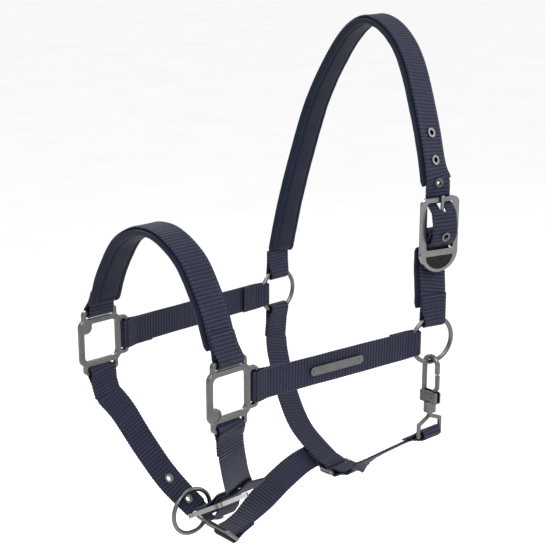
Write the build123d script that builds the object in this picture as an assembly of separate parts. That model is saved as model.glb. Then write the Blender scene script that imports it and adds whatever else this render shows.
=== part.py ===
from build123d import *
import os
from math import cos, sin, pi, radians

# Horse head halter, worn shape. Millimetres. +Z up, nose towards -X, near side towards -Y.
# The origin is midway between the two upper rings, on the halter's mid-plane.

# Webbing
STRAP_W = 25.0
STRAP_T = 2.2
RING_STRAP_W = 21.0          # webbing bunches up where it goes round a ring
LAYER = STRAP_T + 0.3        # pitch of webbing layers that lie on each other
PAD_W = 31.0
PAD_T = 6.0
PAD_LIFT = 4.6               # webbing centre to padding centre
BUCKLE_PAD_LIFT = 5.8        # the buckle strap's padding also clears the billet behind it
SQUARE_GAP = 3.2             # half the gap of a fold round a square's bar
RING_GAP = 3.4
RING_SINK = 2.6              # a fold sits this far inside a ring, to clear its curve
NOSE_HALF = [(-70, 66), (-60, 83), (-44, 104), (-20, 118)]    # Y and Z of the near half
NOSE_TOP = 121.5
FOLD_STATIONS = 13           # stations of one folded webbing end
NOSE_LEAN = 0.45             # the nose band leans in from the squares, width per height
FREE_END = [(2, -9, 7), (5, -17, 17)]       # the chin strap's tip, from its last keeper

# Cast square rings
SQUARE_X = -222.0
SQUARE_Y = 86.0
SQUARE_Z = 4.0
SQUARE_PITCH = 38.0          # between centres of opposite bars of the window frame
SQUARE_BAR = 4.8
SQUARE_DEPTH = 4.4
SQUARE_EAR = 8.6             # frame bar to the strap bar outside it
STRAP_BAR = 3.6
SLOT_W = 28.0

# Round rings
RING_Y = 100.0
RING_R = 20.5
WIRE_R = 2.0
RING_YAW = 14.0              # degrees the near ring turns to face forward
LEAD_RING = Vector(-173, 24, -153)

# Buckle castings
BUCKLE_W = 38.0
BUCKLE_TOP = 28.0            # centre bar to top bar
BUCKLE_CROSS = 18.0          # centre bar to crossbar
BUCKLE_PLATE = 16.0          # crossbar to the rim of the half-moon plate
BUCKLE_BAR = 4.0
CHIN_TOP = 24.0              # the chin buckle is a shorter casting
CHIN_PLATE = 12.0
CROWN_BUCKLE = Vector(6, -98.5, 97)
CHIN_BUCKLE = Vector(-167, -5, -139)
CHIN_TILT = 32.0             # degrees the chin buckle slopes down to the far side
TONGUE_R = 1.6
TONGUE_EYE_R = 3.5
TONGUE_EYE_W = 6.0
TONGUE_SLOT_W = 5.4
TONGUE_SLOT_L = 12.0
EYELET_R = 4.2
EYELET_BORE = 2.3
CROWN_EYELETS = (-3, 40, 63, 86)            # heights from the crown buckle's centre bar
CROWN_HALF = 24              # stations from the billet's tip to the top of the near side
CHIN_EYELETS = ((-9, 1), (30, -1), (45, -1))    # Y of each, and the face that its rim is on
WINDOW_W = 28.0              # clear width between a buckle's side bars
CENTRE_BAR_R = 2.0
PLATE_RIM = 3.4              # crossbar's centre to the half-moon recess
INLAY_DEPTH = 0.8

# Rectangular loops
LOOP_BAR_R = 1.8
CHIN_LOOP_TOP = Vector(-163, 8, -163)
CHIN_LOOP_LOW = Vector(-151, 8, -175)
CHIN_LOOP_L = 42.0
JAW_Y = 3.0                  # the jaw strap sits towards the near end of the chin loop
JUNCTION = Vector(-32, -12, -139)
JUNCTION_L = 32.0
JUNCTION_W = 13.0
JUNCTION_RISE = 0.45         # slope of the throat strap where it meets the jaw strap

# Name plate
PLATE_L = 58.0
PLATE_W = 7.5
PLATE_T = 1.2
RIVET_R = 1.3
RIVET_PITCH = 50.0

# Snap hook
SNAP = Vector(0, -100.6, -23)    # centre of the hook's bend
SNAP_R = 7.2
SNAP_WIRE_R = 2.3
SNAP_BASE = -30.0            # heights below are from the centre of the bend
SNAP_BARREL = -36.0
SNAP_END = -44.0
GATE_PIN = Vector(0, -3.0, -30)
EYE_DROP = -65.0
EYE_HALF = 14.0
EYE_R = 1.9

X, Y, Z = Vector(1, 0, 0), Vector(0, 1, 0), Vector(0, 0, 1)
near_ring_x = X.rotate(Axis.Z, -RING_YAW)


def save(shape, name, color):
    shape.label = name
    shape.color = color
    export_step(shape, f"parts/{name}.step")


def turned(vector, degrees):
    """The vector turned about +Z, counter-clockwise from above."""
    a = radians(degrees)
    return Vector(vector.X * cos(a) - vector.Y * sin(a), vector.X * sin(a) + vector.Y * cos(a), vector.Z)


def fold(bar, along, across, half_gap, meet, tail, width, side=1, join=STRAP_T / 2 + 0.15):
    """Stations of a webbing end round a bar: from the tail's end, round the bar, and out again.

    along points from the bar into the strap, across is the strap's width direction,
    and side says on which face of the strap the tail lies."""
    out = along.normalized()
    face = across.cross(out).normalized() * side
    leg = half_gap + STRAP_T / 2
    stations = [(bar + out * tail + face * join, across, STRAP_W)]
    stations.append((bar + out * meet + face * join, across, STRAP_W))
    for i in range(FOLD_STATIONS - 4):
        a = pi * i / (FOLD_STATIONS - 5)
        stations.append((bar + face * leg * cos(a) - out * leg * sin(a), across, width))
    stations.append((bar + out * meet - face * join, across, STRAP_W))
    stations.append((bar + out * tail - face * join, across, STRAP_W))
    return stations


def smooth(stations, steps=5):
    """Stations on a Catmull-Rom curve through the given ones."""
    result = []
    last = len(stations) - 1
    for i in range(last):
        quad = [stations[max(i - 1, 0)], stations[i], stations[i + 1], stations[min(i + 2, last)]]
        for k in range(steps):
            result.append(blend_station(quad, k / steps))
    result.append(stations[last])
    return result


def blend_station(quad, t):
    a = -0.5 * t + t * t - 0.5 * t ** 3
    b = 1 - 2.5 * t * t + 1.5 * t ** 3
    c = 0.5 * t + 2 * t * t - 1.5 * t ** 3
    d = -0.5 * t * t + 0.5 * t ** 3
    place = quad[0][0] * a + quad[1][0] * b + quad[2][0] * c + quad[3][0] * d
    across = quad[1][1] * (1 - t) + quad[2][1] * t
    return (place, across, quad[1][2] * (1 - t) + quad[2][2] * t)


def ribbon(stations, thick, lift=0.0):
    """A solid strap through the stations, lifted off them by lift along the strap's face."""
    sections = []
    last = len(stations) - 1
    for i, (place, across, width) in enumerate(stations):
        ahead = stations[min(i + 1, last)][0] - stations[max(i - 1, 0)][0]
        tangent = ahead.normalized()
        wide = (across - tangent * across.dot(tangent)).normalized()
        face = wide.cross(tangent)
        middle = place + face * lift
        corner = []
        for u, n in ((-1, -1), (1, -1), (1, 1), (-1, 1)):
            corner.append(middle + wide * (u * width / 2) + face * (n * thick / 2))
        sections.append(Wire.make_polygon(corner, close=True))
    return Solid.make_loft(sections, ruled=True)


def bar_between(start, end, radius):
    span = end - start
    return Solid.make_cylinder(radius, span.length, Plane(start, z_dir=span))


def ring(centre, yaw):
    return Plane(centre, x_dir=turned(X, -yaw), z_dir=turned(-Y, -yaw)) * Torus(RING_R, WIRE_R)


def square_ring(side):
    """Window frame with a strap slot outside its top, rear and bottom bars, and a corner tab."""
    outer = SQUARE_PITCH + SQUARE_BAR
    inner = SQUARE_PITCH - SQUARE_BAR
    plan = RectangleRounded(outer, outer, 7)
    out = SQUARE_PITCH / 2 + SQUARE_EAR / 2
    slots = []
    for turn in (0, 90, -90):
        ear = Rot(0, 0, turn) * Pos(out, 0)
        plan = plan + ear * RectangleRounded(SQUARE_EAR + STRAP_BAR, SLOT_W + 2 * STRAP_BAR, 4)
        slots.append(ear * Pos(0.3, 0) * RectangleRounded(SQUARE_EAR - STRAP_BAR - 0.6, SLOT_W, 1.5))
    plan = plan - RectangleRounded(inner, inner, 4.5)
    plan = plan + Pos(-inner / 2 + 2.5, -inner / 2 + 2.5) * Circle(5.6)
    for slot in slots:
        plan = plan - slot
    body = extrude(plan, SQUARE_DEPTH / 2, both=True)
    body = fillet(body.edges(), 1.1)
    body = body - Pos(-inner / 2 + 2, -inner / 2 + 2, SQUARE_DEPTH / 2) * Cylinder(4.2, 0.8)
    place = Plane((SQUARE_X, side * SQUARE_Y, SQUARE_Z), x_dir=(1, 0, 0), z_dir=(0, side, 0))
    return place * body


def crown_plane():
    """Buckle frame: x across, y up towards the top bar, z outwards."""
    return Plane(CROWN_BUCKLE, x_dir=turned(X, -RING_YAW), z_dir=turned(-Y, -RING_YAW))


def chin_plane():
    a = radians(CHIN_TILT)
    return Plane(CHIN_BUCKLE, x_dir=X, z_dir=Vector(0, -sin(a), -cos(a)))


def in_plane(plane, rows, across, width):
    """Stations from (distance up, distance out) rows in a buckle's frame."""
    return [(plane.origin + plane.y_dir * v + plane.z_dir * n, across, width) for v, n in rows]


def half_moon(cross, plate, inset):
    """The lower part of an ellipse under the crossbar, drawn in from the plate's rim by inset."""
    below = Pos(0, -BUCKLE_W / 4) * Rectangle(BUCKLE_W, BUCKLE_W / 2)
    return Pos(0, -cross - PLATE_RIM) * (Ellipse(WINDOW_W / 2 - inset, plate - 4 - inset) & below)


def window(height, side):
    """One of the two openings, above (1) or below (-1) the centre bar."""
    clear = height - CENTRE_BAR_R - BUCKLE_BAR / 2 - 0.2
    middle = (height - BUCKLE_BAR / 2 + CENTRE_BAR_R + 0.2) / 2
    return Pos(0, side * middle) * RectangleRounded(WINDOW_W, clear, 2.5)


def buckle_frame(plane, top, plate):
    cross = BUCKLE_CROSS
    half = BUCKLE_BAR / 2
    shell = Pos(0, (top - cross) / 2) * RectangleRounded(BUCKLE_W, top + cross + BUCKLE_BAR, 6)
    moon = Pos(0, -cross) * Ellipse(BUCKLE_W / 2, plate + half)
    middle = Rectangle(WINDOW_W, CENTRE_BAR_R * 2 + 1)
    body = extrude(shell + moon - window(top, 1) - window(cross, -1) - middle, half, both=True)
    bar = Cylinder(CENTRE_BAR_R, WINDOW_W + 2, rotation=(0, 90, 0))
    hollow = Pos(0, 0, half - INLAY_DEPTH) * extrude(half_moon(cross, plate, 0), 2)
    return plane * (body + bar - hollow)


def buckle_inlay(plane, plate):
    face = half_moon(BUCKLE_CROSS, plate, 0.1)
    return plane * Pos(0, 0, BUCKLE_BAR / 2 - INLAY_DEPTH) * extrude(face, INLAY_DEPTH - 0.2)


def buckle_tongue(plane, rest, up):
    """Tongue from its eye on the centre bar to the rest bar, up is +1 towards the top bar."""
    eye = Cylinder(TONGUE_EYE_R, TONGUE_EYE_W, rotation=(0, 90, 0))
    bore = Cylinder(2.3, TONGUE_EYE_W + 2, rotation=(0, 90, 0))
    start = Vector(0, up * 1.5, 2.8)
    end = Vector(0, up * (rest + 2.5), BUCKLE_BAR / 2 + TONGUE_R + 0.35)
    shaft = bar_between(start, end, TONGUE_R)
    tip = Pos(end.X, end.Y, end.Z) * Sphere(TONGUE_R)
    return plane * (eye + shaft + tip - bore)


def tongue_slot(plane, rest, up):
    """Room for the tongue in the webbing that it passes through."""
    return plane * Pos(0, up * (rest - 9.5), 3) * Box(TONGUE_SLOT_W, TONGUE_SLOT_L, 14)


def eye_slot(plane):
    return plane * Box(TONGUE_EYE_W + 2, 15, 16)


def keeper_rows(leave):
    """Fold of the fixed strap round the centre bar, as (distance, height) rows.

    Distances run from the centre bar towards the side that the strap leaves by."""
    low = LAYER * 2 + 3.5
    rows = [(leave + 15, -low + LAYER), (leave - 3, -low + LAYER), (leave * 0.5, -1.2), (2.5, 3.0)]
    for i in range(9):
        a = pi * i / 8
        rows.append((-3.3 * sin(a), 3.3 * cos(a)))
    rows += [(2.5, -3.6), (leave * 0.5, -5.6), (leave - 3, -low), (leave + 15, -low)]
    return rows


def billet_rows(rest, leave):
    """The holed strap behind both outer bars, and bulging over the tongue and the centre bar."""
    rows = [(-rest - 14, -3.6), (-rest - 2, -3.6), (-rest + 2.5, -3.3), (-rest + 6.5, 2.4), (-rest + 10, 6.4)]
    rows += [(-rest * 0.25, 9.0), (leave * 0.15, 9.0), (leave * 0.5, 5.6), (leave - 5, -0.6)]
    return rows + [(leave - 2.5, -3.2), (leave + 2, -3.6), (leave + 12, -3.6)]


def loop_frame(plane, length, width, radius):
    """A rectangular wire loop, length by width between its wires' centres."""
    outer = RectangleRounded(length + 2 * radius, width + 2 * radius, 2 * radius + 1)
    inner = RectangleRounded(length - 2 * radius, width - 2 * radius, 1)
    body = extrude(outer - inner, radius, both=True)
    return plane * fillet(body.edges(), radius * 0.9)


def strap_bar(side, dx, dz):
    """Middle of a strap bar of the near (-1) or far (1) square casting."""
    out = SQUARE_PITCH / 2 + SQUARE_EAR
    return Vector(SQUARE_X + dx * out, side * SQUARE_Y, SQUARE_Z + dz * out)


def snap_hook():
    """Bend, shank, nose, base with the gate's slot, and the swivel barrel, round its own origin."""
    bend = Plane(origin=(0, 0, 0), x_dir=(0, 1, 0), z_dir=(1, 0, 0)) * Torus(SNAP_R, SNAP_WIRE_R)
    bend = bend & Pos(0, 0, 10) * Box(20, 30, 20)
    shank = bar_between(Vector(0, SNAP_R, 0), Vector(0, SNAP_R, SNAP_BASE + 4), SNAP_WIRE_R)
    nose = bar_between(Vector(0, -SNAP_R, 0), Vector(0, -SNAP_R, -7), SNAP_WIRE_R)
    base = Pos(0, 0, SNAP_BASE) * Box(8, 2 * SNAP_R + 2 * SNAP_WIRE_R, 11)
    base = fillet(base.edges(), 1.5)
    slot = Pos(0, -3, SNAP_BASE + 1.5) * Box(3.2, 16, 11)
    barrel = Pos(0, 0, (SNAP_BARREL + SNAP_END) / 2 + 1) * Cylinder(5.6, SNAP_BARREL - SNAP_END + 2)
    cavity = Pos(0, 0, SNAP_END + 4.6) * Cylinder(4.1, 4.8)
    mouth = Pos(0, 0, SNAP_END) * Cylinder(2.8, 6)
    pin = Pos(GATE_PIN.X, GATE_PIN.Y, GATE_PIN.Z) * Cylinder(1.2, 12, rotation=(0, 90, 0))
    return bend + shank + nose + (base - slot - pin) + barrel - cavity - mouth


def snap_gate():
    """A flat leaf from the pin up to the nose."""
    root = Pos(GATE_PIN.X, GATE_PIN.Y, GATE_PIN.Z) * Cylinder(3.0, 2.6, rotation=(0, 90, 0))
    bore = Pos(GATE_PIN.X, GATE_PIN.Y, GATE_PIN.Z) * Cylinder(1.35, 4, rotation=(0, 90, 0))
    low, high = -SNAP_BASE - 3, 8.4
    outline = [(-5.5, -low), (-9.3, -low + 6), (-9.3, -high), (-6.0, -high), (-6.0, -low + 7), (-0.5, -low)]
    leaf = make_face(Polyline(*outline, (-3, SNAP_BASE - 1), outline[0]))
    leaf = extrude(Plane.YZ * leaf, 1.3, both=True)
    return root + leaf - bore


def swivel_eye():
    """Headed stem in the barrel, and the D-shaped eye that the snap strap loops through."""
    head = Pos(0, 0, SNAP_END + 4.6) * Cylinder(3.7, 3.2)
    stem = bar_between(Vector(0, 0, SNAP_END + 4), Vector(0, 0, SNAP_END - 5), 2.3)
    top, low = SNAP_END - 4, EYE_DROP
    corners = [Vector(0, 0, top), Vector(-EYE_HALF, 0, top - 6), Vector(-EYE_HALF, 0, low)]
    corners += [Vector(EYE_HALF, 0, low), Vector(EYE_HALF, 0, top - 6)]
    eye = head + stem
    for i, corner in enumerate(corners):
        eye = eye + bar_between(corner, corners[(i + 1) % 5], EYE_R)
        eye = eye + Pos(corner.X, corner.Y, corner.Z) * Sphere(EYE_R)
    return eye


def eyelet(plane):
    """A short rimmed tube set through the webbing, its rim on the plane's outer side."""
    rim = Pos(0, 0, STRAP_T / 2 + 0.5) * Cylinder(EYELET_R, 0.7)
    tube = Cylinder(EYELET_BORE + 0.7, STRAP_T + 0.3)
    return plane * (rim + tube - Cylinder(EYELET_BORE, 8))


def eyelet_hole(plane):
    return plane * Cylinder(EYELET_BORE + 0.8, 8)


def station_plane(stations, i):
    """Plane on the webbing at station i, facing outwards."""
    tangent = (stations[i + 1][0] - stations[i - 1][0]).normalized()
    across = stations[i][1]
    wide = (across - tangent * across.dot(tangent)).normalized()
    return Plane(stations[i][0], x_dir=wide, z_dir=wide.cross(tangent))


def arch(points, width=STRAP_W, across=X):
    return [(Vector(*p), across, width) for p in points]


def nose_arch(width):
    near = [(SQUARE_X, y, z) for y, z in NOSE_HALF]
    far = [(SQUARE_X, -y, z) for y, z in reversed(NOSE_HALF)]
    return arch(near + [(SQUARE_X, 0, NOSE_TOP)] + far, width)


def nose_route():
    start = fold(strap_bar(-1, 0, 1), Z + Y * NOSE_LEAN, X, SQUARE_GAP, 11, 22, STRAP_W, 1)
    end = fold(strap_bar(1, 0, 1), Z - Y * NOSE_LEAN, X, SQUARE_GAP, 11, 22, STRAP_W, -1)
    middle = smooth([start[-1]] + nose_arch(STRAP_W) + [end[-1]])
    return start + middle[1:-1] + end[::-1]


def padded(stations):
    """The same run of stations at the padding's width."""
    return [(place, across, PAD_W) for place, across, width in stations]


def nose_pad_route():
    turns = FOLD_STATIONS - 2
    return padded(nose_route()[turns:-turns])


def cheek_route(side):
    square = strap_bar(side, 1, 0)
    along_ring = near_ring_x if side < 0 else X
    front = Vector(0, side * RING_Y, 0) - along_ring * (RING_R - RING_SINK)
    reach = (front - square).normalized()
    start = fold(square, reach, Z, SQUARE_GAP, 11, 30, STRAP_W, -side)
    end = fold(front, -reach, Z, RING_GAP, 12, 30, RING_STRAP_W, side)
    return start + end[::-1]


def crown_keeper_run():
    """The inner run of the buckle strap, from its fold round the near ring up to the buckle."""
    top = Vector(0, -RING_Y, RING_R - RING_SINK)
    lower = fold(top, Z, near_ring_x, RING_GAP, 12, 24, RING_STRAP_W, 1)
    rows = [(-v, n) for v, n in keeper_rows(BUCKLE_CROSS)]
    upper = in_plane(crown_plane(), rows[::-1], near_ring_x, STRAP_W)
    return lower, smooth([lower[-1], upper[0]], 4)[1:-1], upper


def crown_keeper_pad_route():
    lower, middle, upper = crown_keeper_run()
    return padded(lower[-2:] + middle + upper[:2])


def crown_route():
    plane = crown_plane()
    rows = [(-v, n) for v, n in billet_rows(BUCKLE_TOP, BUCKLE_CROSS)]
    billet = in_plane(plane, rows[::-1], near_ring_x, STRAP_W)
    near = arch([(6, -92, 152), (10, -79, 188), (20, -52, 237), (26, -26, 262)])
    far = arch([(28, 2, 272), (30, 28, 262), (32, 53, 236), (29, 77, 192), (20, 89, 140), (10, 96, 90)])
    top = Vector(0, RING_Y, RING_R - RING_SINK)
    end = fold(top, Z, X, RING_GAP, 12, 24, RING_STRAP_W, -1)
    return billet, smooth([billet[-1]] + near + far + [end[-1]])[1:-1], end[::-1]


def crown_pad_route():
    billet, middle, end = crown_route()
    return padded(billet[-1:] + middle + end[:1])


def throat_route():
    bottom = Vector(0, RING_Y, -RING_R + RING_SINK)
    start = fold(bottom, Vector(-0.1, 0, -1), X, RING_GAP, 12, 28, RING_STRAP_W, 1)
    run = arch([(-9, 89, -62), (-18, 66, -93), (-27, 38, -116)])
    end = fold(JUNCTION, Vector(0, 1, JUNCTION_RISE), X, 2.6, 9, 22, STRAP_W, -1)
    return start + smooth([start[-1]] + run + [end[-1]])[1:-1] + end[::-1]


def snap_route():
    start = fold(JUNCTION - Y * JUNCTION_W, Vector(0, -1, 0.3), X, 2.6, 9, 18, STRAP_W, -1)
    eye = SNAP + Z * EYE_DROP
    end = fold(eye, Vector(-0.15, 1, -0.55), X, 3.0, 10, 22, 22.0, 1)
    run = arch([(-22, -50, -124)])
    return start + smooth([start[-1]] + run + [end[-1]])[1:-1] + end[::-1]


def jaw_route():
    bar = Vector(CHIN_LOOP_LOW.X, JAW_Y, CHIN_LOOP_LOW.Z)
    start = fold(bar, Vector(1, 0, 0.35), Y, 2.6, 10, 24, STRAP_W, 1)
    run = arch([(-104, 5, -155), (-80, 7, -145)], STRAP_W, Vector(0, 0.8, 0.45))
    rear = arch([(-52, 9, -137), (-18, 9, -133.7)], STRAP_W, Vector(0, 1, JUNCTION_RISE))
    return start + smooth([start[-1]] + run + rear)[1:]


def chin_keeper_route():
    """Near square down to the chin buckle's centre bar."""
    bar = strap_bar(-1, 0, -1)
    start = fold(bar, Vector(0.22, 0.2, -1), X, SQUARE_GAP, 11, 24, STRAP_W, 1)
    rows = keeper_rows(CHIN_TOP)
    end = in_plane(chin_plane(), rows, X, STRAP_W)
    run = arch([(-207, -74, -66), (-188, -55, -90)], STRAP_W, Vector(1, 0, 0.2))
    return start + smooth([start[-1]] + run + [end[-1]])[1:-1] + end[::-1]


def far_chin_route():
    bar = strap_bar(1, 0, -1)
    start = fold(bar, Vector(0.2, -0.1, -1), X, SQUARE_GAP, 11, 24, STRAP_W, 1)
    run = arch([(-206, 78, -64), (-193, 66, -96), (-181, 47, -127)], STRAP_W, Vector(1, 0, 0.15))
    billet = in_plane(chin_plane(), billet_rows(BUCKLE_CROSS, CHIN_TOP), X, STRAP_W)
    free = [billet[-1]] + [(billet[-1][0] + Vector(*step), X, STRAP_W) for step in FREE_END]
    tip = smooth(free)[1:]
    return start + smooth([start[-1]] + run + [billet[0]])[1:-1] + billet + tip


def nearest(stations, axis, value):
    """Index of the station whose place along axis is nearest to value."""
    return min(range(len(stations)), key=lambda i: abs(stations[i][0].dot(axis) - value))


def with_eyelets(stations, places):
    """The strap with its eyelet holes, and the eyelets as one group.

    Each place is a station's index and 1 or -1, for the face that the rim is on."""
    strap = ribbon(stations, STRAP_T)
    group = []
    for i, face in places:
        plane = station_plane(stations, i)
        plane = Plane(plane.origin, x_dir=plane.x_dir, z_dir=plane.z_dir * face)
        strap = strap - eyelet_hole(plane)
        group.append(eyelet(plane))
    return strap, Compound(children=group)


def name_plate():
    """Blank bar riveted on the near cheek strap, and its two rivets."""
    start, end = strap_bar(-1, 1, 0), Vector(0, -RING_Y, 0) - near_ring_x * (RING_R - RING_SINK)
    reach = (end - start).normalized()
    middle = start + reach * (end - start).length * 0.47
    face = Plane(middle, x_dir=reach, z_dir=reach.cross(Z))
    lift = LAYER / 2 + PLATE_T + STRAP_T / 2
    bar = Pos(0, 0, lift) * extrude(RectangleRounded(PLATE_L, PLATE_W, 3.7), PLATE_T / 2, both=True)
    dome = Sphere(RIVET_R) & Pos(0, 0, 1) * Box(4, 4, 2)
    ends = (-RIVET_PITCH / 2, RIVET_PITCH / 2)
    rivets = [Pos(x, 0, lift + PLATE_T / 2) * dome for x in ends]
    return face * bar, face * Compound(children=rivets)


def add_straps(shapes):
    shapes["nose_strap"] = ribbon(nose_route(), STRAP_T)
    shapes["nose_padding"] = ribbon(nose_pad_route(), PAD_T, -PAD_LIFT)
    shapes["near_cheek_strap"] = ribbon(cheek_route(-1), STRAP_T)
    shapes["far_cheek_strap"] = ribbon(cheek_route(1), STRAP_T)
    billet, middle, end = crown_route()
    near_half = (billet + middle)[:CROWN_HALF]
    places = [(nearest(near_half, Z, CROWN_BUCKLE.Z + height), 1) for height in CROWN_EYELETS]
    crown, eyelets = with_eyelets(billet + middle + end, places)
    shapes["crown_strap"] = crown - tongue_slot(crown_plane(), BUCKLE_TOP, 1)
    shapes["crown_eyelets"] = eyelets
    shapes["crown_padding"] = ribbon(crown_pad_route(), PAD_T, -PAD_LIFT)
    lower, middle, upper = crown_keeper_run()
    shapes["buckle_strap"] = ribbon(lower + middle + upper, STRAP_T) - eye_slot(crown_plane())
    shapes["buckle_strap_padding"] = ribbon(crown_keeper_pad_route(), PAD_T, -BUCKLE_PAD_LIFT)
    shapes["throat_strap"] = ribbon(throat_route(), STRAP_T)
    shapes["snap_strap"] = ribbon(snap_route(), STRAP_T)
    shapes["jaw_strap"] = ribbon(jaw_route(), STRAP_T)
    shapes["near_chin_strap"] = ribbon(chin_keeper_route(), STRAP_T) - eye_slot(chin_plane())
    chin_route = far_chin_route()
    places = [(nearest(chin_route, Y, y), face) for y, face in CHIN_EYELETS]
    chin, eyelets = with_eyelets(chin_route, places)
    shapes["far_chin_strap"] = chin - tongue_slot(chin_plane(), BUCKLE_CROSS, -1)
    shapes["chin_eyelets"] = eyelets


def add_metal(shapes):
    shapes["near_square"] = square_ring(-1)
    shapes["far_square"] = square_ring(1)
    shapes["near_ring"] = ring(Vector(0, -RING_Y, 0), RING_YAW)
    shapes["far_ring"] = ring(Vector(0, RING_Y, 0), 0)
    shapes["lead_ring"] = ring(LEAD_RING, 0)
    shapes["crown_buckle_frame"] = buckle_frame(crown_plane(), BUCKLE_TOP, BUCKLE_PLATE)
    shapes["crown_buckle_inlay"] = buckle_inlay(crown_plane(), BUCKLE_PLATE)
    shapes["crown_buckle_tongue"] = buckle_tongue(crown_plane(), BUCKLE_TOP, 1)
    shapes["chin_buckle_frame"] = buckle_frame(chin_plane(), CHIN_TOP, CHIN_PLATE)
    shapes["chin_buckle_tongue"] = buckle_tongue(chin_plane(), BUCKLE_CROSS, -1)
    span = CHIN_LOOP_LOW - CHIN_LOOP_TOP
    plane = Plane(CHIN_LOOP_TOP + span * 0.5, x_dir=Y, z_dir=Y.cross(span))
    shapes["chin_loop"] = loop_frame(plane, CHIN_LOOP_L, span.length, LOOP_BAR_R)
    plane = Plane(JUNCTION - Y * (JUNCTION_W / 2), x_dir=X, z_dir=Z)
    shapes["junction_loop"] = loop_frame(plane, JUNCTION_L, JUNCTION_W, LOOP_BAR_R)
    place = Pos(SNAP.X, SNAP.Y, SNAP.Z)
    shapes["snap_hook"] = place * snap_hook()
    shapes["snap_gate"] = place * snap_gate()
    pin = Cylinder(1.15, 9.0, rotation=(0, 90, 0))
    shapes["snap_gate_pin"] = place * Pos(GATE_PIN.X, GATE_PIN.Y, GATE_PIN.Z) * pin
    shapes["snap_gate_spring"] = place * Pos(0, 3.0, SNAP_BASE) * Box(2.6, 1.2, 6)
    shapes["swivel_eye"] = place * swivel_eye()
    plate, rivets = name_plate()
    shapes["name_plate"] = plate
    shapes["name_plate_rivets"] = rivets


def main():
    os.makedirs("parts", exist_ok=True)
    navy = Color(0.10, 0.13, 0.26)
    steel = Color(0.55, 0.55, 0.56)
    shapes = {}
    add_straps(shapes)
    soft = list(shapes)
    add_metal(shapes)
    for name, shape in shapes.items():
        cloth = name in soft and "eyelets" not in name
        save(shape, name, navy if cloth else steel)


main()
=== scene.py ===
import bmesh
import bpy
from collections import namedtuple
from math import cos, pi, radians, sin
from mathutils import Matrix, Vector


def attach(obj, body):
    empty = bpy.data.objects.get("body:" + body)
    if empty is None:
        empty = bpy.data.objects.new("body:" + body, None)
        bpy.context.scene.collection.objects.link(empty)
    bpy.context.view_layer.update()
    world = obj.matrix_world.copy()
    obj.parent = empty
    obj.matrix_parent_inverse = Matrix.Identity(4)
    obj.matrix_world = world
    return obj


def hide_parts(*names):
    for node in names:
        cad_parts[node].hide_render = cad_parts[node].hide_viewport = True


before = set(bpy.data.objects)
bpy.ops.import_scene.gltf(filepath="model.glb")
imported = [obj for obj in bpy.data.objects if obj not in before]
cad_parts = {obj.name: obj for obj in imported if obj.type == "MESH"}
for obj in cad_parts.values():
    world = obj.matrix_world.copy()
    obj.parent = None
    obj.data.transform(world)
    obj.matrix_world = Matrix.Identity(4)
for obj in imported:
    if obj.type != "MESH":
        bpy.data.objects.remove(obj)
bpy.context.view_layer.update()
MM = 0.001

# Horse head halter, worn shape: webbing, linings, stitching, materials, studio and camera.
# Sizes are in millimetres in the CAD model's frame, and MM turns them into metres.

# Webbing and linings
STRAP_W = 25.0
STRAP_T = 2.2
RING_STRAP_W = 21.0          # webbing bunches up where it goes round a ring
LAYER = STRAP_T + 0.3        # pitch of webbing layers that lie on each other
PAD_W = 31.0
PAD_T = 6.0
PAD_LIFT = 4.6               # webbing centre to padding centre
BUCKLE_PAD_LIFT = 5.8        # the buckle strap's padding also clears the billet behind it
RIB = 3.2                    # pitch of the webbing's cross ribs
RIB_DEPTH = 0.4
RIB_SWELL = 0.34             # how much wider the web is at a rib than between ribs
STEP = RIB / 6               # length of one mesh row along the webbing
CORNER_ROUNDS = 5            # passes that ease a strap's corners between its stations
TWIST_ROUNDS = 150           # passes that ease its twist
PAD_STEP = 1.0               # length of one mesh row along a lining
PAD_ROUNDS = 8
CHANNEL = 9.6                # sewn channel of a lining, from its centre line
CHANNEL_END = 7.0            # and from its ends
CHANNEL_WIDTH = 0.75
CHANNEL_DEPTH = 1.5

# Folded webbing ends
SQUARE_GAP = 3.2             # half the gap of a fold round a square's bar
SQUARE_MEET = 11.0           # where the two layers of such a fold meet, from the bar
RING_GAP = 3.4
RING_MEET = 12.0
RING_SINK = 2.6              # a fold sits this far inside a ring, to clear its curve
LOOP_GAP = 2.6
FOLD_STATIONS = 13           # stations of one folded webbing end

# Stitching
STITCH_PITCH = 3.2
STITCH_L = 2.3
THREAD_R = 0.28
BOX_HALF = 10.0              # half the width of the sewn box on a fold's tail
SEAM_HALF = 10.2             # the lining's seams, from the strap's centre line
EYELET_BORE = 3.0

# Nose band, over the square castings
NOSE_HALF = [(-70, 66), (-60, 83), (-44, 104), (-20, 118)]      # Y and Z of the near half
NOSE_TOP = 121.5
NOSE_LEAN = 0.45             # how it leans in from the squares, width per height
SQUARE_X = -222.0
SQUARE_Y = 86.0
SQUARE_Z = 4.0
SQUARE_PITCH = 38.0
SQUARE_EAR = 8.6             # frame bar to the strap bar outside it

# Rings, buckles, loops and snap
RING_Y = 100.0
RING_R = 20.5
RING_YAW = 14.0              # degrees the near ring turns to face forward
BUCKLE_TOP = 28.0            # centre bar to top bar
BUCKLE_CROSS = 18.0          # centre bar to crossbar
CHIN_TOP = 24.0
CROWN_BUCKLE = Vector((6, -98.5, 97))
CHIN_BUCKLE = Vector((-167, -5, -139))
CHIN_TILT = 32.0             # degrees the chin buckle slopes down to the far side
CROWN_EYELETS = (-3, 40, 63, 86)            # heights from the crown buckle's centre bar
CROWN_HALF = 24              # stations from the billet's tip to the top of the near side
CHIN_EYELETS = (-9, 30, 45)  # Y of each
FREE_END = [(2, -9, 7), (5, -17, 17)]       # the chin strap's tip, from its last keeper
TONGUE_SLOT_HALF = 2.6
TONGUE_SLOT_ENDS = (15.5, 3.5)              # its ends, inwards from the bar that the tongue rests on
EYE_SLOT_HALF = (4, 7)       # across and along the strap, round a tongue's eye
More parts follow.
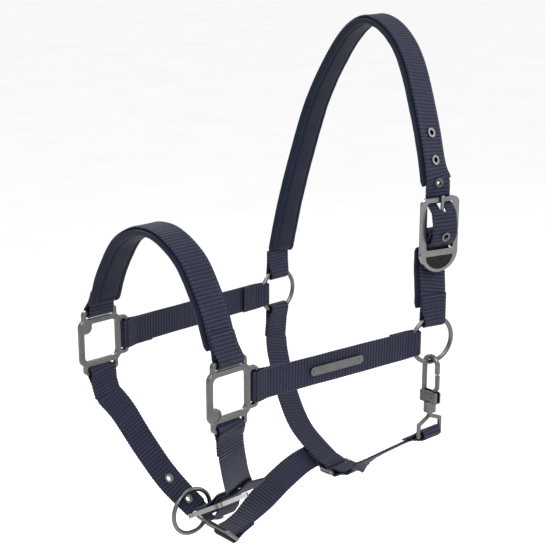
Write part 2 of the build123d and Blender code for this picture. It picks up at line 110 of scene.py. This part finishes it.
CHIN_LOOP_LOW = Vector((-151, 8, -175))
JAW_Y = 3.0                  # the jaw strap sits towards the near end of the chin loop
JUNCTION = Vector((-32, -12, -139))
JUNCTION_W = 13.0
JUNCTION_RISE = 0.45         # slope of the throat strap where it meets the jaw strap
SNAP = Vector((0, -100.6, -23))
EYE_DROP = -65.0

X, Y, Z = Vector((1, 0, 0)), Vector((0, 1, 0)), Vector((0, 0, 1))
Frame = namedtuple("Frame", "origin x_dir y_dir z_dir")


def turned(vector, degrees):
    """The vector turned about +Z, counter-clockwise from above."""
    a = radians(degrees)
    return Vector((vector.x * cos(a) - vector.y * sin(a), vector.x * sin(a) + vector.y * cos(a), vector.z))


def fold(bar, along, across, half_gap, meet, tail, width, side=1, join=STRAP_T / 2 + 0.15):
    """Stations of a webbing end round a bar: from the tail's end, round the bar, and out again.

    along points from the bar into the strap, across is the strap's width direction,
    and side says on which face of the strap the tail lies."""
    out = along.normalized()
    face = across.cross(out).normalized() * side
    leg = half_gap + STRAP_T / 2
    stations = [(bar + out * tail + face * join, across, STRAP_W)]
    stations.append((bar + out * meet + face * join, across, STRAP_W))
    for i in range(FOLD_STATIONS - 4):
        a = pi * i / (FOLD_STATIONS - 5)
        stations.append((bar + face * leg * cos(a) - out * leg * sin(a), across, width))
    stations.append((bar + out * meet - face * join, across, STRAP_W))
    stations.append((bar + out * tail - face * join, across, STRAP_W))
    return stations


def smooth(stations, steps=5):
    """Stations on a Catmull-Rom curve through the given ones."""
    result = []
    last = len(stations) - 1
    for i in range(last):
        quad = [stations[max(i - 1, 0)], stations[i], stations[i + 1], stations[min(i + 2, last)]]
        for k in range(steps):
            result.append(blend_station(quad, k / steps))
    result.append(stations[last])
    return result


def blend_station(quad, t):
    a = -0.5 * t + t * t - 0.5 * t ** 3
    b = 1 - 2.5 * t * t + 1.5 * t ** 3
    c = 0.5 * t + 2 * t * t - 1.5 * t ** 3
    d = -0.5 * t * t + 0.5 * t ** 3
    place = quad[0][0] * a + quad[1][0] * b + quad[2][0] * c + quad[3][0] * d
    across = quad[1][1] * (1 - t) + quad[2][1] * t
    return (place, across, quad[1][2] * (1 - t) + quad[2][2] * t)


def crown_plane():
    """Buckle frame: x across, y up towards the top bar, z outwards."""
    across, out = turned(X, -RING_YAW), turned(-Y, -RING_YAW)
    return Frame(CROWN_BUCKLE, across, out.cross(across), out)


def chin_plane():
    a = radians(CHIN_TILT)
    out = Vector((0, -sin(a), -cos(a)))
    return Frame(CHIN_BUCKLE, X, out.cross(X), out)


def in_plane(plane, rows, across, width):
    """Stations from (distance up, distance out) rows in a buckle's frame."""
    return [(plane.origin + plane.y_dir * v + plane.z_dir * n, across, width) for v, n in rows]


def keeper_rows(leave):
    """Fold of the fixed strap round the centre bar, as (distance, height) rows.

    Distances run from the centre bar towards the side that the strap leaves by."""
    low = LAYER * 2 + 3.5
    rows = [(leave + 15, -low + LAYER), (leave - 3, -low + LAYER), (leave * 0.5, -1.2), (2.5, 3.0)]
    for i in range(9):
        a = pi * i / 8
        rows.append((-3.3 * sin(a), 3.3 * cos(a)))
    rows += [(2.5, -3.6), (leave * 0.5, -5.6), (leave - 3, -low), (leave + 15, -low)]
    return rows


def billet_rows(rest, leave):
    """The holed strap behind both outer bars, and bulging over the tongue and the centre bar."""
    rows = [(-rest - 14, -3.6), (-rest - 2, -3.6), (-rest + 2.5, -3.3), (-rest + 6.5, 2.4), (-rest + 10, 6.4)]
    rows += [(-rest * 0.25, 9.0), (leave * 0.15, 9.0), (leave * 0.5, 5.6), (leave - 5, -0.6)]
    return rows + [(leave - 2.5, -3.2), (leave + 2, -3.6), (leave + 12, -3.6)]


def strap_bar(side, dx, dz):
    """Middle of a strap bar of the near (-1) or far (1) square casting."""
    out = SQUARE_PITCH / 2 + SQUARE_EAR
    return Vector((SQUARE_X + dx * out, side * SQUARE_Y, SQUARE_Z + dz * out))


near_ring_x = turned(X, -RING_YAW)


def arch(points, width=STRAP_W, across=X):
    return [(Vector(p), across, width) for p in points]


def nose_arch(width):
    near = [(SQUARE_X, y, z) for y, z in NOSE_HALF]
    far = [(SQUARE_X, -y, z) for y, z in reversed(NOSE_HALF)]
    return arch(near + [(SQUARE_X, 0, NOSE_TOP)] + far, width)


def nose_route():
    start = fold(strap_bar(-1, 0, 1), Z + Y * NOSE_LEAN, X, SQUARE_GAP, SQUARE_MEET, 22, STRAP_W, 1)
    end = fold(strap_bar(1, 0, 1), Z - Y * NOSE_LEAN, X, SQUARE_GAP, SQUARE_MEET, 22, STRAP_W, -1)
    middle = smooth([start[-1]] + nose_arch(STRAP_W) + [end[-1]])
    return start + middle[1:-1] + end[::-1]


def padded(stations):
    """The same run of stations at the padding's width."""
    return [(place, across, PAD_W) for place, across, _ in stations]


def nose_pad_route():
    turns = FOLD_STATIONS - 2
    return padded(nose_route()[turns:-turns])


def cheek_route(side):
    square = strap_bar(side, 1, 0)
    along_ring = near_ring_x if side < 0 else X
    front = Vector((0, side * RING_Y, 0)) - along_ring * (RING_R - RING_SINK)
    reach = (front - square).normalized()
    start = fold(square, reach, Z, SQUARE_GAP, SQUARE_MEET, 30, STRAP_W, -side)
    end = fold(front, -reach, Z, RING_GAP, RING_MEET, 30, RING_STRAP_W, side)
    return start + end[::-1]


def crown_keeper_run():
    """The inner run of the buckle strap, from its fold round the near ring up to the buckle."""
    top = Vector((0, -RING_Y, RING_R - RING_SINK))
    lower = fold(top, Z, near_ring_x, RING_GAP, RING_MEET, 24, RING_STRAP_W, 1)
    rows = [(-v, n) for v, n in keeper_rows(BUCKLE_CROSS)]
    upper = in_plane(crown_plane(), rows[::-1], near_ring_x, STRAP_W)
    return lower, smooth([lower[-1], upper[0]], 4)[1:-1], upper


def crown_keeper_pad_route():
    lower, middle, upper = crown_keeper_run()
    return padded(lower[-2:] + middle + upper[:2])


def crown_route():
    plane = crown_plane()
    rows = [(-v, n) for v, n in billet_rows(BUCKLE_TOP, BUCKLE_CROSS)]
    billet = in_plane(plane, rows[::-1], near_ring_x, STRAP_W)
    near = arch([(6, -92, 152), (10, -79, 188), (20, -52, 237), (26, -26, 262)])
    far = arch([(28, 2, 272), (30, 28, 262), (32, 53, 236), (29, 77, 192), (20, 89, 140), (10, 96, 90)])
    top = Vector((0, RING_Y, RING_R - RING_SINK))
    end = fold(top, Z, X, RING_GAP, RING_MEET, 24, RING_STRAP_W, -1)
    return billet, smooth([billet[-1]] + near + far + [end[-1]])[1:-1], end[::-1]


def crown_pad_route():
    billet, middle, end = crown_route()
    return padded(billet[-1:] + middle + end[:1])


def throat_route():
    bottom = Vector((0, RING_Y, -RING_R + RING_SINK))
    start = fold(bottom, Vector((-0.1, 0, -1)), X, RING_GAP, RING_MEET, 28, RING_STRAP_W, 1)
    run = arch([(-9, 89, -62), (-18, 66, -93), (-27, 38, -116)])
    end = fold(JUNCTION, Vector((0, 1, JUNCTION_RISE)), X, LOOP_GAP, 9, 22, STRAP_W, -1)
    return start + smooth([start[-1]] + run + [end[-1]])[1:-1] + end[::-1]


def snap_route():
    start = fold(JUNCTION - Y * JUNCTION_W, Vector((0, -1, 0.3)), X, LOOP_GAP, 9, 18, STRAP_W, -1)
    eye = SNAP + Z * EYE_DROP
    end = fold(eye, Vector((-0.15, 1, -0.55)), X, 3.0, 10, 22, 22.0, 1)
    run = arch([(-22, -50, -124)])
    return start + smooth([start[-1]] + run + [end[-1]])[1:-1] + end[::-1]


def jaw_route():
    bar = Vector((CHIN_LOOP_LOW.x, JAW_Y, CHIN_LOOP_LOW.z))
    start = fold(bar, Vector((1, 0, 0.35)), Y, LOOP_GAP, 10, 24, STRAP_W, 1)
    run = arch([(-104, 5, -155), (-80, 7, -145)], STRAP_W, Vector((0, 0.8, 0.45)))
    rear = arch([(-52, 9, -137), (-18, 9, -133.7)], STRAP_W, Vector((0, 1, JUNCTION_RISE)))
    return start + smooth([start[-1]] + run + rear)[1:]


def chin_keeper_route():
    """Near square down to the chin buckle's centre bar."""
    bar = strap_bar(-1, 0, -1)
    start = fold(bar, Vector((0.22, 0.2, -1)), X, SQUARE_GAP, SQUARE_MEET, 24, STRAP_W, 1)
    rows = keeper_rows(CHIN_TOP)
    end = in_plane(chin_plane(), rows, X, STRAP_W)
    run = arch([(-207, -74, -66), (-188, -55, -90)], STRAP_W, Vector((1, 0, 0.2)))
    return start + smooth([start[-1]] + run + [end[-1]])[1:-1] + end[::-1]


def far_chin_route():
    bar = strap_bar(1, 0, -1)
    start = fold(bar, Vector((0.2, -0.1, -1)), X, SQUARE_GAP, SQUARE_MEET, 24, STRAP_W, 1)
    run = arch([(-206, 78, -64), (-193, 66, -96), (-181, 47, -127)], STRAP_W, Vector((1, 0, 0.15)))
    billet = in_plane(chin_plane(), billet_rows(BUCKLE_CROSS, CHIN_TOP), X, STRAP_W)
    free = [billet[-1]] + [(billet[-1][0] + Vector(step), X, STRAP_W) for step in FREE_END]
    tip = smooth(free)[1:]
    return start + smooth([start[-1]] + run + [billet[0]])[1:-1] + billet + tip


def nearest(stations, axis, value):
    """Index of the station whose place along axis is nearest to value."""
    return min(range(len(stations)), key=lambda i: abs(stations[i][0].dot(axis) - value))


def resample(stations, step, rounds):
    """Evenly spaced (place, across, width) rows on the route, with its corners eased."""
    rows, left = [stations[0]], step
    for (p, a, w), (q, b, v) in zip(stations, stations[1:]):
        length = (q - p).length
        while left < length:
            t = left / length
            rows.append((p.lerp(q, t), a.lerp(b, t), w + (v - w) * t))
            left += step
        left -= length
    for _ in range(rounds):
        middle = []
        for before, row, after in zip(rows, rows[1:], rows[2:]):
            place = before[0] * 0.25 + row[0] * 0.5 + after[0] * 0.25
            across = before[1] * 0.25 + row[1] * 0.5 + after[1] * 0.25
            middle.append((place, across, before[2] * 0.25 + row[2] * 0.5 + after[2] * 0.25))
        rows = rows[:1] + middle + rows[-1:]
    widths = [row[1] for row in rows]
    for _ in range(TWIST_ROUNDS):
        eased = [(a + b * 2 + c) / 4 for a, b, c in zip(widths, widths[1:], widths[2:])]
        widths = widths[:1] + eased + widths[-1:]
    return [(place, across, width) for (place, _, width), across in zip(rows, widths)]


def framed(rows):
    """Each row as (place, wide, face, tangent, width)."""
    result = []
    last = len(rows) - 1
    for i, (place, across, width) in enumerate(rows):
        tangent = (rows[min(i + 1, last)][0] - rows[max(i - 1, 0)][0]).normalized()
        wide = (across - tangent * across.dot(tangent)).normalized()
        result.append((place, wide, wide.cross(tangent), tangent, width))
    return result


def skin(name, rings, uvs, drop=()):
    """Closed mesh through rings of points in millimetres, without the faces that drop names."""
    mesh = bpy.data.meshes.new(name)
    bm = bmesh.new()
    layer = bm.loops.layers.uv.new("cloth")
    verts = [[bm.verts.new(p * MM) for p in ring] for ring in rings]
    count = len(rings[0])
    for i in range(len(rings) - 1):
        for k in range(count):
            n = (k + 1) % count
            middle = (rings[i][k] + rings[i + 1][n]) / 2
            if any(test(middle) for test in drop):
                continue
            face = bm.faces.new((verts[i][k], verts[i][n], verts[i + 1][n], verts[i + 1][k]))
            for loop, (r, c) in zip(face.loops, ((i, k), (i, n), (i + 1, n), (i + 1, k))):
                loop[layer].uv = uvs[r][c]
    for ring in (verts[0][::-1], verts[-1]):
        bm.faces.new(ring)
    bmesh.ops.recalc_face_normals(bm, faces=bm.faces)
    for face in bm.faces:
        face.smooth = len(face.verts) == 4
    bm.to_mesh(mesh)
    bm.free()
    piece = bpy.data.objects.new(name, mesh)
    bpy.context.collection.objects.link(piece)
    return piece


def web_profile():
    """Half-width and half-thickness shares round the webbing's section, and how ribbed each is."""
    flat = [-0.93, -0.75, -0.5, -0.25, 0, 0.25, 0.5, 0.75, 0.93]
    top = [(u, 1, 1) for u in flat]
    bottom = [(u, -1, 1) for u in reversed(flat)]
    right = [(0.985, 0.66, 0.5), (1, 0, 0), (0.985, -0.66, 0.5)]
    left = [(-0.985, -0.66, 0.5), (-1, 0, 0), (-0.985, 0.66, 0.5)]
    return top + right + bottom + left


def webbing(name, stations, node, drop=()):
    """Ribbed web along the stations, in place of a CAD strap. Returns its rows for the stitching."""
    rows = framed(resample(stations, STEP, CORNER_ROUNDS))
    profile = web_profile()
    rings, uvs = [], []
    for i, (place, wide, face, _, width) in enumerate(rows):
        s = i * STEP
        rib = abs(sin(pi * s / RIB))
        slack = 0.18 * sin(s / 17.0 + len(name)) + 0.1 * sin(s / 6.1)
        half = width / 2 + RIB_SWELL * (rib - 0.5) + slack * 0.5
        ring, uv = [], []
        for u, n, ribbed in profile:
            thick = STRAP_T / 2 - 0.05 - RIB_DEPTH * (1 - rib) * ribbed
            ring.append(place + wide * (u * half) + face * (n * thick))
            uv.append((u * width / 20, s / 10))
        rings.append(ring)
        uvs.append(uv)
    piece = skin(name, rings, uvs, drop)
    finish_piece(piece, node, web_material)
    return rows


def finish_piece(piece, node, material):
    piece.data.materials.append(material)
    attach(piece, "straps")
    if node:
        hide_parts(node)


def bump_at(value, place, spread):
    """1 at place, falling to 0 over spread."""
    return 2.718 ** (-((value - place) / spread) ** 2)


def padding(name, stations, node, lift):
    """Crowned lining with a sewn channel inset from its edges and ends."""
    rows = framed(resample(stations, PAD_STEP, PAD_ROUNDS))
    total = (len(rows) - 1) * PAD_STEP
    shares = [-1, -0.985, -0.93, -0.86, -0.78, -0.72, -0.67, -0.62, -0.57, -0.5, -0.36, -0.18, 0]
    shares = shares + [-u for u in reversed(shares[:-1])]
    rings, uvs = [], []
    for i, (place, wide, face, _, width) in enumerate(rows):
        s = i * PAD_STEP
        edge = min(s, total - s)
        close = min(1.0, 0.35 + 0.65 * min(edge / 4.0, 1) ** 0.5)
        ring, uv = [], []
        half = width / 2 * (0.96 + 0.04 * close)
        for u in shares:
            roll = max(0.0, 1 - abs(u) ** 9) ** 0.5
            sewn = bump_at(abs(u) * half, CHANNEL, CHANNEL_WIDTH)
            if abs(u) * half < CHANNEL:
                sewn = max(sewn, bump_at(edge, CHANNEL_END, CHANNEL_WIDTH))
            crown = 0.86 + 0.14 * cos(u * pi * 0.5)
            depth = PAD_T * (0.1 + 0.9 * roll) * crown * close - CHANNEL_DEPTH * sewn * close
            wrinkle = 0.12 * sin(s / 5.3 + 2 * u) + 0.08 * sin(s / 2.3 - 3 * u)
            ring.append(place + wide * (u * half) + face * (lift + PAD_T / 2 - depth + wrinkle * roll))
            uv.append((u * half / 10, s / 10))
        for u in reversed(shares[1:-1]):
            ring.append(place + wide * (u * half) + face * (lift + PAD_T / 2))
            uv.append((u * half / 10, s / 10))
        rings.append(ring)
        uvs.append(uv)
    piece = skin(name, rings, uvs)
    finish_piece(piece, node, lining_material)


def stitch(bm, centre, along, up):
    """One thread stitch: a low spindle pressed into the cloth."""
    side = along.cross(up).normalized()
    rings = []
    for t, r in ((-0.5, 0.15), (-0.3, 0.85), (0, 1.0), (0.3, 0.85), (0.5, 0.15)):
        ring = []
        for k in range(6):
            a = pi * k / 3
            place = centre + along * (t * STITCH_L) + (side * cos(a) + up * sin(a) * 0.8) * (r * THREAD_R)
            ring.append(bm.verts.new(place * MM))
        rings.append(ring)
    for low, high in zip(rings, rings[1:]):
        for k in range(6):
            bm.faces.new((low[k], low[(k + 1) % 6], high[(k + 1) % 6], high[k])).smooth = True
    bm.faces.new(rings[0][::-1])
    bm.faces.new(rings[-1])


def sew(name, runs):
    """Rows of stitches. Each run is (rows, side, kind, fixed, start, end).

    An along run keeps its distance fixed from the centre line, and an across run its place
    along the strap; side is the face that is sewn."""
    bm = bmesh.new()
    for rows, side, kind, fixed, start, end in runs:
        count = max(1, int(abs(end - start) / STITCH_PITCH))
        for k in range(count):
            moving = start + (end - start) * (k + 0.5) / count
            s, u = (moving, fixed) if kind == "along" else (fixed, moving)
            index = min(max(int(s / STEP), 0), len(rows) - 1)
            place, wide, face, tangent, _ = rows[index]
            up = face * side
            along = tangent if kind == "along" else wide
            stitch(bm, place + wide * u + up * (STRAP_T / 2 - 0.02), along, up)
    mesh = bpy.data.meshes.new(name)
    bm.to_mesh(mesh)
    bm.free()
    piece = bpy.data.objects.new(name, mesh)
    bpy.context.collection.objects.link(piece)
    finish_piece(piece, None, thread_material)


def box_stitch(rows, start, end, half=BOX_HALF):
    """A sewn rectangle on a fold's tail, from start to end along the strap."""
    runs = [(rows, -1, "along", u, start, end) for u in (-half, half)]
    return runs + [(rows, -1, "across", s, -half, half) for s in (start, end)]


def edge_rows(rows, start, end):
    """The two seams that hold a lining to its strap."""
    return [(rows, 1, "along", u, start, end) for u in (-SEAM_HALF, SEAM_HALF)]


def length_of(rows):
    return (len(rows) - 1) * STEP


def bore(stations, i):
    """True inside the eyelet's bore at station i."""
    place = stations[i][0]
    tangent = (stations[i + 1][0] - stations[i - 1][0]).normalized()
    across = stations[i][1]
    axis = (across - tangent * across.dot(tangent)).normalized().cross(tangent)

    def test(point):
        away = point - place
        height = away.dot(axis)
        return abs(height) < 3 and (away - axis * height).length < EYELET_BORE
    return test


def slit(plane, half_x, low, high, half_z=7):
    """True inside a slot cut through the webbing in a buckle's frame."""
    def test(point):
        away = point - plane.origin
        inside = abs(away.dot(plane.x_dir)) < half_x and abs(away.dot(plane.z_dir)) < half_z
        return inside and low < away.dot(plane.y_dir) < high
    return test


def tongue_slit(plane, rest):
    """The slot that the tongue passes through, where rest is the height of the bar it rests on."""
    side = 1 if rest > 0 else -1
    low, high = sorted(rest - side * end for end in TONGUE_SLOT_ENDS)
    return slit(plane, TONGUE_SLOT_HALF, low, high)


def eye_slit(plane):
    half_x, half_y = EYE_SLOT_HALF
    return slit(plane, half_x, -half_y, half_y)


# Materials

class Nodes:
    """Short names for building one material's nodes."""

    def __init__(self, name):
        self.material = bpy.data.materials.new(name)
        self.material.use_nodes = True
        self.tree = self.material.node_tree
        self.shader = self.tree.nodes["Principled BSDF"]

    def add(self, kind, **values):
        node = self.tree.nodes.new(kind)
        for key, value in values.items():
            setattr(node, key, value)
        return node

    def link(self, source, target):
        self.tree.links.new(source, target)

    def math(self, operation, a, b=0.0):
        node = self.add("ShaderNodeMath", operation=operation)
        for socket, value in zip(node.inputs, (a, b)):
            if isinstance(value, (int, float)):
                socket.default_value = value
            else:
                self.link(value, socket)
        return node.outputs[0]

    def noise(self, scale, detail=3.0, vector=None):
        node = self.add("ShaderNodeTexNoise")
        node.inputs["Scale"].default_value = scale
        node.inputs["Detail"].default_value = detail
        if vector is None:
            vector = self.add("ShaderNodeTexCoord").outputs["Object"]
        self.link(vector, node.inputs["Vector"])
        return node.outputs["Fac"]

    def ramp(self, factor, stops):
        node = self.add("ShaderNodeValToRGB")
        while len(node.color_ramp.elements) < len(stops):
            node.color_ramp.elements.new(0.5)
        for element, (place, color) in zip(node.color_ramp.elements, stops):
            element.position = place
            element.color = (*color, 1)
        self.link(factor, node.inputs["Fac"])
        return node.outputs["Color"]

    def bump(self, height, strength, distance):
        node = self.add("ShaderNodeBump")
        node.inputs["Strength"].default_value = strength
        node.inputs["Distance"].default_value = distance
        self.link(height, node.inputs["Height"])
        self.link(node.outputs["Normal"], self.shader.inputs["Normal"])

    def set(self, **values):
        for key, value in values.items():
            self.shader.inputs[key.replace("_", " ")].default_value = value


def make_webbing():
    """Ribbed nylon: painted shade darkens the grooves between ribs, warp yarns along each rib, uneven dye."""
    n = Nodes("navy_webbing")
    uv = n.add("ShaderNodeUVMap", uv_map="cloth")
    split = n.add("ShaderNodeSeparateXYZ")
    n.link(uv.outputs["UV"], split.inputs[0])
    across, along = split.outputs[0], split.outputs[1]
    rib = n.math("ABSOLUTE", n.math("SINE", n.math("MULTIPLY", along, pi / (RIB / 10))))
    row = n.math("FLOOR", n.math("DIVIDE", along, RIB / 10))
    yarn = n.math("ADD", n.math("MULTIPLY", across, 2 * pi / 0.11), n.math("MULTIPLY", row, pi))
    yarn = n.math("ADD", n.math("MULTIPLY", n.math("SINE", yarn), 0.5), 0.5)
    dye = n.noise(140.0)
    fuzz = n.noise(2600.0, 4.0)
    # The rib profile darkens the colour between ribs (painted shade in the grooves), on top of the yarn lines
    # and the uneven dye.
    groove_shade_and_dye = n.math("MULTIPLY", rib, n.math("ADD", n.math("MULTIPLY", yarn, 0.35), 0.65))
    groove_shade_and_dye = n.math("ADD", n.math("MULTIPLY", groove_shade_and_dye, 0.75), n.math("MULTIPLY", dye, 0.35))
    # The ramp's dark end is painted shade in the grooves between ribs.
    color = n.ramp(groove_shade_and_dye, [(0.1, (0.0012, 0.0016, 0.0045)), (0.55, (0.0075, 0.0095, 0.024)),
                          (1.0, (0.020, 0.025, 0.056))])
    n.link(color, n.shader.inputs["Base Color"])
    rough = n.math("ADD", n.math("MULTIPLY", fuzz, 0.25), 0.5)
    n.link(rough, n.shader.inputs["Roughness"])
    height = n.math("ADD", n.math("MULTIPLY", groove_shade_and_dye, 0.8), n.math("MULTIPLY", fuzz, 0.3))
    n.bump(height, 0.7, 0.0004)
    n.set(Sheen_Weight=0.03, Sheen_Roughness=0.4, Specular_IOR_Level=0.22)
    return n.material


def make_lining():
    """Smooth brushed lining over foam."""
    n = Nodes("navy_lining")
    nap = n.noise(1900.0, 5.0)
    shade = n.noise(45.0)
    mix = n.math("ADD", n.math("MULTIPLY", nap, 0.45), n.math("MULTIPLY", shade, 0.55))
    color = n.ramp(mix, [(0.25, (0.0040, 0.0058, 0.0145)), (0.75, (0.0085, 0.0118, 0.0275))])
    n.link(color, n.shader.inputs["Base Color"])
    n.link(n.math("ADD", n.math("MULTIPLY", nap, 0.2), 0.6), n.shader.inputs["Roughness"])
    n.bump(nap, 0.35, 0.00025)
    n.set(Sheen_Weight=0.03, Sheen_Roughness=0.5, Specular_IOR_Level=0.15)
    return n.material


def make_thread():
    n = Nodes("navy_thread")
    twist = n.noise(3500.0, 2.0)
    color = n.ramp(twist, [(0.3, (0.012, 0.016, 0.036)), (0.7, (0.034, 0.042, 0.085))])
    n.link(color, n.shader.inputs["Base Color"])
    n.link(n.math("ADD", n.math("MULTIPLY", twist, 0.2), 0.4), n.shader.inputs["Roughness"])
    n.bump(twist, 0.4, 0.0001)
    return n.material


def make_metal(name, dark, light, rough, grain=700.0):
    """Satin plated metal with fine tumbling marks and handling wear."""
    n = Nodes(name)
    wear = n.noise(70.0, 5.0)
    fine = n.noise(grain, 4.0)
    mix = n.math("ADD", n.math("MULTIPLY", wear, 0.6), n.math("MULTIPLY", fine, 0.4))
    color = n.ramp(mix, [(0.3, (dark,) * 3), (0.7, (light, light, light * 0.985))])
    n.link(color, n.shader.inputs["Base Color"])
    n.link(n.math("ADD", n.math("MULTIPLY", mix, 0.22), rough - 0.11), n.shader.inputs["Roughness"])
    n.bump(fine, 0.18, 0.00008)
    n.set(Metallic=1.0)
    return n.material


def make_enamel():
    n = Nodes("dark_enamel")
    speck = n.noise(500.0, 3.0)
    color = n.ramp(speck, [(0.3, (0.006, 0.006, 0.008)), (0.7, (0.016, 0.016, 0.019))])
    n.link(color, n.shader.inputs["Base Color"])
    n.link(n.math("ADD", n.math("MULTIPLY", speck, 0.15), 0.2), n.shader.inputs["Roughness"])
    n.set(Specular_IOR_Level=0.12)
    return n.material


web_material = make_webbing()
lining_material = make_lining()
thread_material = make_thread()
pewter = make_metal("satin_pewter", 0.10, 0.17, 0.33)
bright_pewter = make_metal("polished_pewter", 0.19, 0.29, 0.27)
enamel = make_enamel()


def build_nose():
    rows = webbing("nose_webbing", nose_route(), "nose_strap")
    padding("nose_lining", nose_pad_route(), "nose_padding", -PAD_LIFT)
    total = length_of(rows)
    return box_stitch(rows, 2, 12) + box_stitch(rows, total - 12, total - 2) + edge_rows(rows, 38, total - 38)


def build_cheeks():
    runs = []
    for side, name in ((-1, "near_cheek"), (1, "far_cheek")):
        rows = webbing(name + "_webbing", cheek_route(side), name + "_strap")
        total = length_of(rows)
        runs += box_stitch(rows, 2, 17) + box_stitch(rows, total - 17, total - 2)
    return runs


def build_crown():
    billet, middle, end = crown_route()
    route = billet + middle + end
    near_half = (billet + middle)[:CROWN_HALF]
    cuts = [bore(route, nearest(near_half, Z, CROWN_BUCKLE.z + height)) for height in CROWN_EYELETS]
    cuts.append(tongue_slit(crown_plane(), BUCKLE_TOP))
    rows = webbing("crown_webbing", route, "crown_strap", cuts)
    padding("crown_lining", crown_pad_route(), "crown_padding", -PAD_LIFT)
    lower, run, upper = crown_keeper_run()
    route = lower + run + upper
    keeper = webbing("buckle_webbing", route, "buckle_strap", [eye_slit(crown_plane())])
    padding("buckle_lining", crown_keeper_pad_route(), "buckle_strap_padding", -BUCKLE_PAD_LIFT)
    total = length_of(rows)
    runs = edge_rows(rows, 110, total - 38) + box_stitch(rows, total - 12, total - 2)
    return runs + box_stitch(keeper, 2, 10)


def build_throat():
    rows = webbing("throat_webbing", throat_route(), "throat_strap")
    snap = webbing("snap_webbing", snap_route(), "snap_strap")
    jaw = webbing("jaw_webbing", jaw_route(), "jaw_strap")
    total = length_of(rows)
    runs = box_stitch(rows, 2, 15) + box_stitch(rows, total - 12, total - 2)
    runs += box_stitch(snap, 1, 8) + box_stitch(snap, length_of(snap) - 11, length_of(snap) - 1, 9)
    return runs + box_stitch(jaw, 2, 13)


def build_chin():
    cuts = [eye_slit(chin_plane())]
    rows = webbing("near_chin_webbing", chin_keeper_route(), "near_chin_strap", cuts)
    route = far_chin_route()
    cuts = [bore(route, nearest(route, Y, y)) for y in CHIN_EYELETS]
    cuts.append(tongue_slit(chin_plane(), -BUCKLE_CROSS))
    far = webbing("far_chin_webbing", route, "far_chin_strap", cuts)
    total = length_of(rows)
    runs = box_stitch(rows, 2, 12) + box_stitch(far, 2, 12)
    tip = length_of(far) - 4
    return runs + box_stitch(rows, total - 10, total - 2) + [(far, 1, "across", tip, -BOX_HALF, BOX_HALF)]


def dress_metal():
    """Satin metal on every carried-over casting, ring and fitting."""
    finishes = {"crown_buckle_inlay": enamel, "crown_buckle_frame": bright_pewter,
                "chin_buckle_frame": bright_pewter, "crown_buckle_tongue": bright_pewter,
                "chin_buckle_tongue": bright_pewter}
    for name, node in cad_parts.items():
        material = finishes.get(name, pewter)
        node.data.materials.clear()
        node.data.materials.append(material)


def add_stage():
    bpy.context.scene.view_settings.view_transform = "Standard"
    bpy.ops.mesh.primitive_plane_add(size=60, location=(0, 0, -0.75))
    floor = bpy.context.object
    floor.name = "floor"
    n = Nodes("pale_floor")
    color = n.ramp(n.noise(3.0), [(0.3, (0.90, 0.90, 0.90)), (0.7, (0.93, 0.93, 0.93))])
    n.link(color, n.shader.inputs["Base Color"])
    n.set(Roughness=0.8)
    floor.data.materials.append(n.material)


def add_world():
    """A white backdrop, which lights and reflects as a studio, bright above and dim below."""
    world = bpy.data.worlds.new("studio")
    bpy.context.scene.world = world
    world.use_nodes = True
    nodes, links = world.node_tree.nodes, world.node_tree.links
    split = nodes.new("ShaderNodeSeparateXYZ")
    ramp = nodes.new("ShaderNodeValToRGB")
    stops = [(0.0, 0.12), (0.35, 0.30), (0.55, 0.55), (0.8, 1.0)]
    while len(ramp.color_ramp.elements) < len(stops):
        ramp.color_ramp.elements.new(0.5)
    for element, (place, grey) in zip(ramp.color_ramp.elements, stops):
        element.position = place
        element.color = (grey, grey, grey, 1)
    height = nodes.new("ShaderNodeMapRange")
    height.inputs["From Min"].default_value = -1
    links.new(nodes.new("ShaderNodeTexCoord").outputs["Generated"], split.inputs[0])
    links.new(split.outputs["Z"], height.inputs["Value"])
    links.new(height.outputs["Result"], ramp.inputs["Fac"])
    mix = nodes.new("ShaderNodeMix")
    mix.data_type = "RGBA"
    links.new(nodes.new("ShaderNodeLightPath").outputs["Is Camera Ray"], mix.inputs["Factor"])
    links.new(ramp.outputs["Color"], mix.inputs["A"])
    mix.inputs["B"].default_value = (1, 1, 1, 1)
    links.new(mix.outputs["Result"], nodes["Background"].inputs["Color"])
    nodes["Background"].inputs["Strength"].default_value = 1.1


def add_light(name, place, size, power):
    data = bpy.data.lights.new(name, "AREA")
    data.shape = "DISK"
    data.size = size
    data.energy = power
    light = bpy.data.objects.new(name, data)
    light.location = place
    light.rotation_euler = (-Vector(place)).to_track_quat("-Z", "Y").to_euler()
    bpy.context.collection.objects.link(light)


def add_camera():
    """Near front quarter, slightly above, aimed a little left of and above the origin."""
    azimuth, elevation, distance = radians(-46), radians(18), 1.2
    back = Vector((sin(azimuth) * cos(elevation), -cos(azimuth) * cos(elevation), sin(elevation)))
    right = Vector((cos(azimuth), sin(azimuth), 0))
    up = back.cross(right)
    aim = right * -0.0731 + up * 0.0369
    data = bpy.data.cameras.new("camera")
    data.lens = 84.8
    data.sensor_width = 36
    camera = bpy.data.objects.new("camera", data)
    camera.location = back * distance
    camera.rotation_euler = (aim - camera.location).to_track_quat("-Z", "Y").to_euler()
    bpy.context.collection.objects.link(camera)
    bpy.context.scene.camera = camera


dress_metal()
sew("stitching", build_nose() + build_cheeks() + build_crown() + build_throat() + build_chin())
add_stage()
add_world()
add_light("key", (-1.1, -1.3, 1.6), 1.2, 34)
add_light("fill", (1.4, -1.0, 0.8), 1.4, 14)
add_light("rim", (0.2, 1.6, 1.2), 1.0, 22)
add_camera()
